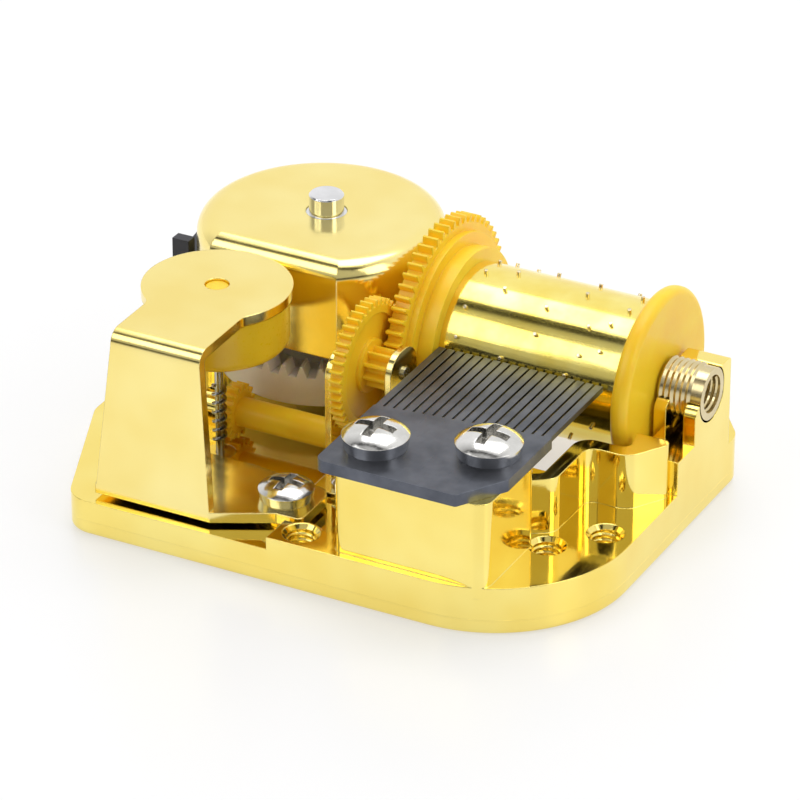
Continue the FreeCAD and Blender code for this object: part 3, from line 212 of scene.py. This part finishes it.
GOLD_DARK = (0.95, 0.73, 0.17)
GOLD_LIGHT = (1.00, 0.84, 0.27)
# The pressed gold's paler colours are painted brightness: the same plating, painted lighter to stand in
# for the light on the fronts of the brackets and the drum.
PAINTED_LIT_GOLD_DARK = (0.95, 0.76, 0.24)
PAINTED_LIT_GOLD_LIGHT = (1.00, 0.85, 0.34)
cast_gold = make_plating("cast_gold", GOLD_DARK, GOLD_LIGHT, 0.05, 0.12, 0.5, 0.20, seam_mm=1.3)
pressed_gold_painted_lit = make_plating("pressed_gold_painted_lit", PAINTED_LIT_GOLD_DARK, PAINTED_LIT_GOLD_LIGHT, 0.12, 0.20, 0.12, 0.30)
dress(cast_gold, "base_plate", "housing_rivets")
dress(pressed_gold_painted_lit, "spring_housing", "governor_bracket", "idler_bracket")

# %% [markdown]
# The pinned cylinder is plated too, but its tube was turned and tumbled first, so the shine is
# broken by a fine sparkle and faint rings. Rings come from noise that changes quickly along the
# axis and slowly round it. The pins are cut steel under the same plating, so they stay brighter.


# %% Satin gold of the cylinder
def make_cylinder_gold():
    material, tree, shader = new_finish("satin_gold")
    shader.inputs["Metallic"].default_value = 1.0
    tone = object_grain(tree, 0.3, 3.0)
    colour = ramp(tree, tone, (0.95, 0.74, 0.14), (1.00, 0.85, 0.26))
    tree.links.new(colour, shader.inputs["Base Color"])
    rings = object_grain(tree, 2.0, 2.0, (1.0, 0.05, 0.05))
    sparkle = object_grain(tree, 9.0, 2.0)
    tree.links.new(spread(tree, sparkle, 0.08, 0.18), shader.inputs["Roughness"])
    bump_chain(tree, shader, [(rings, 0.10, 0.01), (sparkle, 0.40, 0.006)], 0.06)
    return material


satin_gold = make_cylinder_gold()
pin_gold = make_plating("pin_gold", (0.82, 0.70, 0.42), (0.93, 0.83, 0.55), 0.10, 0.18, 0.1, 0.2)
dress(satin_gold, "cylinder_tube")
dress(pin_gold, "tune_pins")

# %% [markdown]
# The comb is one plate of hardened steel, ground grey and left bare. Grinding runs along the
# teeth, so its grain is long from front to back and very fine from side to side. The same recipe
# with other colours serves the small turned steel pieces and the spring.


# %% Steels
def make_steel(name, dark, light, rough_low, rough_high, stretch, depth, edge_mm):
    material, tree, shader = new_finish(name)
    shader.inputs["Metallic"].default_value = 1.0
    grain = object_grain(tree, 6.0, 4.0, stretch)
    cloud = object_grain(tree, 0.35, 3.0)
    tree.links.new(ramp(tree, cloud, dark, light), shader.inputs["Base Color"])
    tree.links.new(spread(tree, grain, rough_low, rough_high), shader.inputs["Roughness"])
    bump_chain(tree, shader, [(grain, 0.25, depth)], edge_mm)
    return material


ALONG_Y = (1.0, 0.03, 1.0)
ALONG_X = (0.05, 1.0, 1.0)
ROUND_Z = (0.1, 0.1, 1.0)
comb_steel = make_steel("comb_steel", (0.085, 0.092, 0.112), (0.150, 0.160, 0.188), 0.26, 0.38,
                        ALONG_Y, 0.006, 0.08)
bright_screw = make_steel("bright_screw", (0.62, 0.61, 0.58), (0.80, 0.79, 0.77), 0.10, 0.24,
                          (1.0, 1.0, 1.0), 0.004, 0.12)
polished_arbor = make_steel("polished_arbor", (0.72, 0.72, 0.73), (0.86, 0.86, 0.88), 0.06, 0.12,
                            ROUND_Z, 0.002, 0.08)
worm_steel = make_steel("worm_steel", (0.30, 0.30, 0.31), (0.50, 0.50, 0.51), 0.14, 0.26,
                        ROUND_Z, 0.003, 0.04)
turned_steel = make_steel("turned_steel", (0.42, 0.42, 0.43), (0.58, 0.58, 0.59), 0.18, 0.32,
                          ALONG_X, 0.004, 0.05)
soft_lead = make_steel("soft_lead", (0.16, 0.16, 0.17), (0.26, 0.26, 0.28), 0.45, 0.60,
                       (1.0, 1.0, 1.0), 0.010, 0.08)
dress(comb_steel, "comb")
dress(bright_screw, "comb_screws", "governor_bracket_screw", "idler_bracket_screw")
dress(polished_arbor, "winding_arbor")
dress(worm_steel, "worm")
dress(turned_steel, "cylinder_axle", "idler_pin", "stop_lever_pin", "mainspring", "spring_core")
dress(soft_lead, "tuning_leads", "governor_weights")

# %% [markdown]
# Turned brass. The threaded bush that holds the right end of the cylinder is pale brass with
# turning rings round its axis. The small hidden bearings are cut from the same bar.

# %% Pale brass
pale_brass = make_steel("pale_brass", (0.62, 0.50, 0.26), (0.78, 0.67, 0.40), 0.16, 0.28,
                        (1.0, 0.1, 0.1), 0.004, 0.05)
dress(pale_brass, "cylinder_bush", "arbor_bush", "worm_foot_bearing", "clutch_sleeve")

# %% [markdown]
# Moulded plastics. The gears are an amber acetal that lets a little light through, which is why
# their rims glow. Subsurface scattering gives that glow; plain diffuse colour would look like
# paint. Faint flow marks and a fine mould texture break up the shine. The crown wheel is white
# nylon and the lever black.


# %% Moulded plastics
def make_plastic(name, dark, light, rough, glow, glow_mm, edge_mm):
    material, tree, shader = new_finish(name)
    flow = object_grain(tree, 0.25, 3.0, (1.0, 0.6, 0.6))
    tree.links.new(ramp(tree, flow, dark, light), shader.inputs["Base Color"])
    skin = object_grain(tree, 4.0, 4.0)
    tree.links.new(spread(tree, skin, rough - 0.06, rough + 0.08), shader.inputs["Roughness"])
    shader.inputs["Subsurface Weight"].default_value = glow
    shader.inputs["Subsurface Radius"].default_value = (1.0, 0.55, 0.12)
    shader.inputs["Subsurface Scale"].default_value = glow_mm * MM
    shader.inputs["IOR"].default_value = 1.48
    bump_chain(tree, shader, [(skin, 0.15, 0.008)], edge_mm)
    return material


amber = make_plastic("amber_acetal", (0.96, 0.57, 0.013), (1.00, 0.69, 0.026), 0.34, 0.30, 0.8, 0.12)
cup_amber = make_plastic("cup_amber", (0.74, 0.47, 0.012), (0.84, 0.57, 0.022), 0.30, 0.35, 0.7, 0.10)
nylon = make_plastic("white_nylon", (0.84, 0.82, 0.78), (0.92, 0.90, 0.86), 0.45, 0.3, 0.6, 0.12)
black_plastic = make_plastic("black_plastic", (0.012, 0.012, 0.016), (0.030, 0.030, 0.040),
                             0.45, 0.0, 0.1, 0.10)
dress(amber, "cylinder_gear", "cylinder_end_disc", "idler_gear", "worm_shaft", "drive_pinion",
      "governor_pivot")
dress(cup_amber, "governor_cup", "governor_rotor")
dress(nylon, "great_wheel")
dress(black_plastic, "stop_lever")

# %% [markdown]
# Screw threads inside the bores. A tap leaves a spiral ridge that catches the light just inside
# each hole. A cylinder with a bump would be flat at its edge, so the ridge is real: a small
# triangle carried round and along the bore, step by step.


# %% Thread ridge
THREAD_STEPS = 28


def ridge_point(along, radius, turn, axis, centre):
    """A point at that turn round the bore's axis."""
    across, up = radius * math.cos(turn), radius * math.sin(turn)
    if axis == "X":
        return Vector((along, centre[0] + across, centre[1] + up)) * MM
    return Vector((centre[0] + across, centre[1] + up, along)) * MM


def thread_ridge(name, axis, centre, start, end, bore, depth, pitch, body, material):
    mesh = bmesh.new()
    steps = int((end - start - pitch) / pitch * THREAD_STEPS)
    rows = []
    for i in range(steps + 1):
        turn = 2 * math.pi * i / THREAD_STEPS
        along = start + pitch / 2 + pitch * i / THREAD_STEPS
        profile = ((along - 0.35 * pitch, bore), (along, bore - depth), (along + 0.35 * pitch, bore))
        rows.append([mesh.verts.new(ridge_point(a, r, turn, axis, centre)) for a, r in profile])
    for here, after in zip(rows, rows[1:]):
        for k in range(3):
            mesh.faces.new((here[k], here[k - 1], after[k - 1], after[k]))
    mesh.faces.new(rows[0])
    mesh.faces.new(reversed(rows[-1]))
    bmesh.ops.recalc_face_normals(mesh, faces=mesh.faces)
    data = bpy.data.meshes.new(name)
    mesh.to_mesh(data)
    mesh.free()
    data.materials.append(material)
    piece = bpy.data.objects.new(name, data)
    scene.collection.objects.link(piece)
    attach(piece, body)
    print(name, "turns:", round(steps / THREAD_STEPS, 1))


# %% [markdown]
# Where the threads are: three tapped holes for mounting the movement, the socket under the
# arbor for the key, and the bore of the bush. Their places come from the mounts and the solids.

# %% Cut the threads
HOLE_BORE = 1.25
HOLE_PITCH = 0.5
HOLE_DEPTH = 0.17
for hole in [m for m in frame["record"]["mounts"] if "hole" in m["name"]]:
    x, y = [v / MM for v in hole["pos_m"][:2]]
    thread_ridge(hole["name"] + "_thread", "Z", (x, y), 0.1, 3.9, HOLE_BORE, HOLE_DEPTH, HOLE_PITCH,
                 "frame", cast_gold)

thread_ridge("winding_socket_thread", "Z", (0.0, 0.0), 0.2, 4.8, 1.5, 0.2, 0.6,
             "winding_arbor", polished_arbor)

bush_low, bush_high = [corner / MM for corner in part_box("cylinder_bush")]
bush_middle = (bush_low + bush_high) / 2
BUSH_BORE = 1.65
BUSH_SEAT = 1.6
thread_ridge("bush_thread", "X", (bush_middle.y, bush_middle.z), bush_low.x + BUSH_SEAT, bush_high.x - 0.1,
             BUSH_BORE, 0.16, 0.45, "frame", pale_brass)

# %% [markdown]
# The studio. Mirror plating shows whatever stands around it, so the surroundings matter as much
# as the lamps: a white sweep behind and below, a softly lit room on the photographer's side with
# a dark strip of furniture low along it, a dark gap in the ceiling between the lamps, and soft
# boxes overhead. A world gradient by direction is the simplest room one can build, and the strip
# and the gap draw the thin dark lines in the gold.


# %% Room
ROOM_BAND_HEIGHT = 0.16
ROOM_GAP_PLACE = 0.24


def room_brightness(tree):
    """How bright the room is in each direction."""
    direction = split_axes(tree, "Generated")
    depth, height = direction["Y"], direction["Z"]
    walls = mapped(tree, depth, -0.15, 0.3, 0.50, 0.98)
    far_side = mapped(tree, depth, -0.35, -0.05, 0.0, 1.0)
    from_strip = math_step(tree, "ABSOLUTE", math_step(tree, "SUBTRACT", height, ROOM_BAND_HEIGHT))
    strip = mapped(tree, from_strip, 0.06, 0.095, 0.03, 1.0)
    near_strip = math_step(tree, "MAXIMUM", strip, far_side)
    room = math_step(tree, "MULTIPLY", walls, near_strip)
    ceiling = mapped(tree, height, 0.80, 0.95, 0.0, 0.95)
    room = math_step(tree, "MAXIMUM", room, ceiling)
    from_gap = math_step(tree, "ABSOLUTE", math_step(tree, "ADD", depth, ROOM_GAP_PLACE))
    gap = mapped(tree, from_gap, 0.06, 0.12, 0.06, 1.0)
    below_ceiling = mapped(tree, height, 0.5, 0.7, 1.0, 0.0)
    ceiling_gap = math_step(tree, "MAXIMUM", gap, below_ceiling)
    return math_step(tree, "MULTIPLY", room, ceiling_gap)


def make_room():
    world = bpy.data.worlds.new("studio_room")
    scene.world = world
    world.use_nodes = True
    tree = world.node_tree
    tree.links.new(room_brightness(tree), tree.nodes["Background"].inputs["Color"])


make_room()
print("room made")

# %% [markdown]
# Three soft boxes. Large area lamps close to the piece give soft shadows and the broad white
# highlights on the cylinder and the drum. Their power is set from the radiance one wants to see
# in a mirror, so a reflection of a lamp is white and not a burnt hole.


# %% Soft boxes
def soft_box(name, place, target, width, height, radiance):
    data = bpy.data.lights.new(name, "AREA")
    data.shape = "RECTANGLE"
    data.size = width
    data.size_y = height
    data.energy = radiance * math.pi * width * height
    lamp = bpy.data.objects.new(name, data)
    scene.collection.objects.link(lamp)
    lamp.location = place
    lamp.rotation_euler = (Vector(target) - Vector(place)).to_track_quat("-Z", "Y").to_euler()
    print(name, "watts:", round(data.energy, 2))


MIDDLE = (0.010, -0.008, 0.008)
soft_box("overhead_box", (0.00, 0.08, 0.42), MIDDLE, 0.40, 0.24, 2.4)
soft_box("front_box", (-0.19, -0.30, 0.31), MIDDLE, 0.34, 0.20, 1.7)
soft_box("right_box", (0.36, -0.06, 0.22), MIDDLE, 0.16, 0.26, 1.9)

# %% [markdown]
# The floor is a white sweep. Seen by the camera or in a mirror it carries part of its white as
# its own glow, so the background is paper white while the movement still casts a faint shadow.


# %% Floor
FLOOR_SIZE = 3.0
FLOOR_DROP = 0.00005


def floor_finish():
    material, tree, shader = new_finish("white_sweep")
    shader.inputs["Base Color"].default_value = (0.80, 0.80, 0.80, 1.0)
    shader.inputs["Roughness"].default_value = 0.5
    seen = add_node(tree, "ShaderNodeBsdfPrincipled", Roughness=0.35, Emission_Strength=0.50)
    seen.inputs["Base Color"].default_value = (0.40, 0.40, 0.405, 1.0)
    seen.inputs["Emission Color"].default_value = (1.0, 1.0, 1.0, 1.0)
    path = tree.nodes.new("ShaderNodeLightPath")
    either = math_step(tree, "MAXIMUM", path.outputs["Is Camera Ray"], path.outputs["Is Glossy Ray"])
    any_ray = math_step(tree, "MAXIMUM", either, path.outputs["Is Transmission Ray"])
    mix = tree.nodes.new("ShaderNodeMixShader")
    tree.links.new(any_ray, mix.inputs["Fac"])
    tree.links.new(shader.outputs["BSDF"], mix.inputs[1])
    tree.links.new(seen.outputs["BSDF"], mix.inputs[2])
    tree.links.new(mix.outputs["Shader"], tree.nodes["Material Output"].inputs["Surface"])
    return material


def lay_floor():
    half = FLOOR_SIZE / 2
    data = bpy.data.meshes.new("floor")
    corners = [(-half, -half, -FLOOR_DROP), (half, -half, -FLOOR_DROP),
               (half, half, -FLOOR_DROP), (-half, half, -FLOOR_DROP)]
    data.from_pydata(corners, [], [(0, 1, 2, 3)])
    data.materials.append(floor_finish())
    floor = bpy.data.objects.new("floor", data)
    scene.collection.objects.link(floor)


lay_floor()
print("floor laid")

# %% [markdown]

# %% End
print("scene set up")
